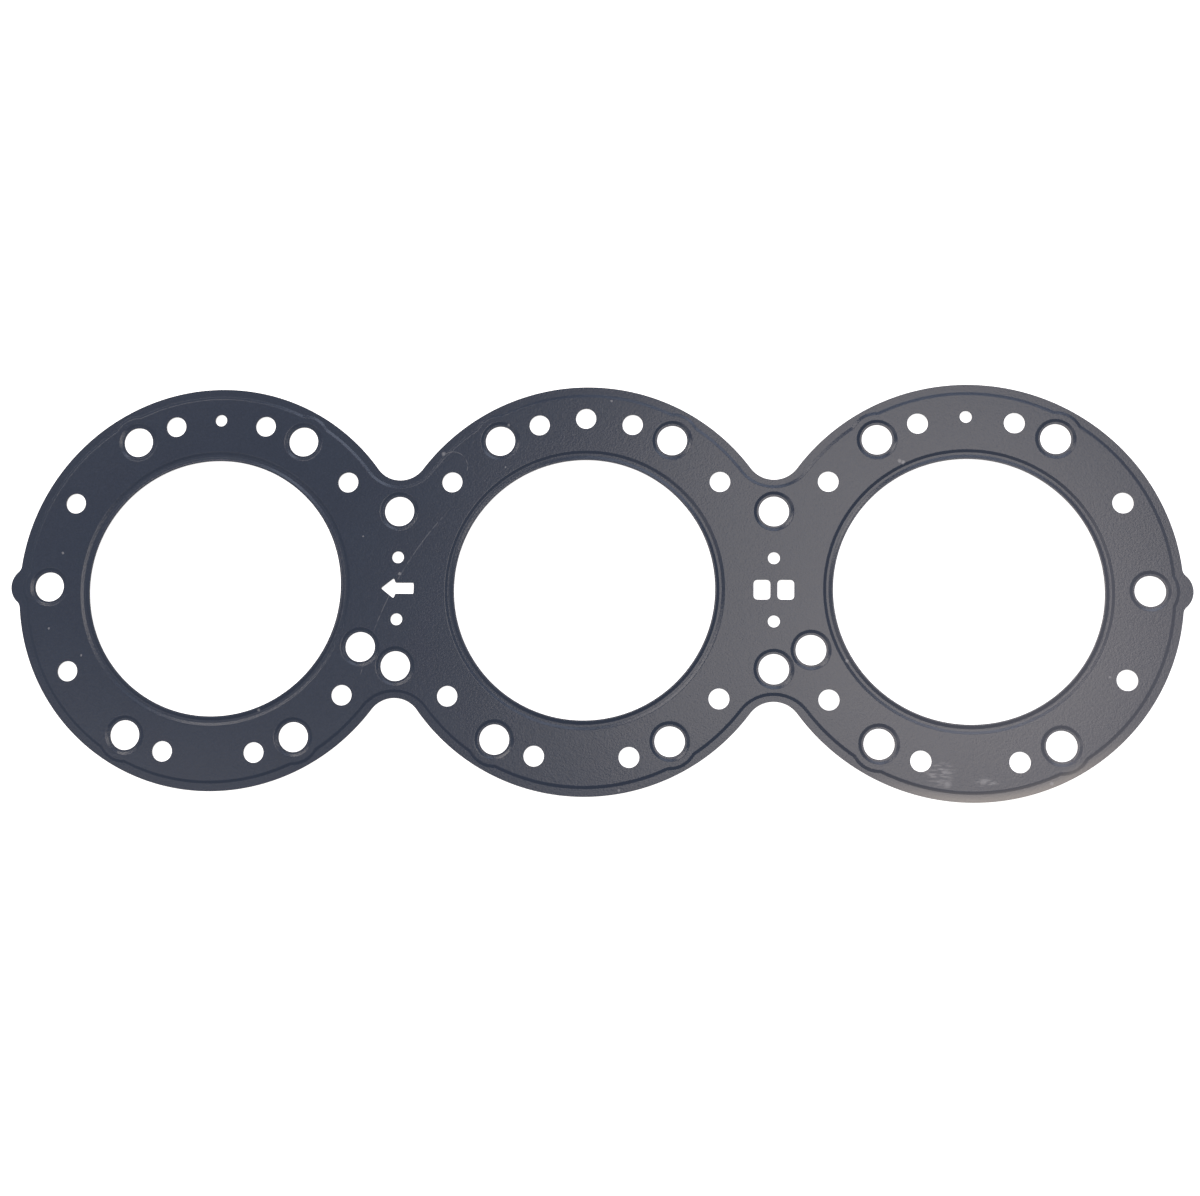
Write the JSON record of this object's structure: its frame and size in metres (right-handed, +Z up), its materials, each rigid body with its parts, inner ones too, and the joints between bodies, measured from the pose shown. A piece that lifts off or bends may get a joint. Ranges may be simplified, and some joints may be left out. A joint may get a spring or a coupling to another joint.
{
  "type": "cylinder head gasket",
  "caption": "Flat embossed steel gasket that seals an engine's cylinder head to its block, with linked rings round the bores, bead-edged bolt holes and coolant holes.",
  "frame": {"origin": "on the axis of the middle bore, at the plane that the sheet lies on: the underside of its rim, of the lips round its bolt holes and of the ridges round its bores", "axes": "+X along the row of cylinders, towards the web with the two windows; +Y across the row, away from the two stud holes; +Z up, out of the side on which the field stands proud and the bore beads are grooves"},
  "size_m": [0.4142, 0.144, 0.0009],
  "materials": {
    "coated_spring_steel": "thin baked rubber coating on spring steel, satin dark grey with a fine grain"
  },
  "bodies": {
    "root": {"gasket_sheet": "coated_spring_steel"}
  },
  "joints": []
}
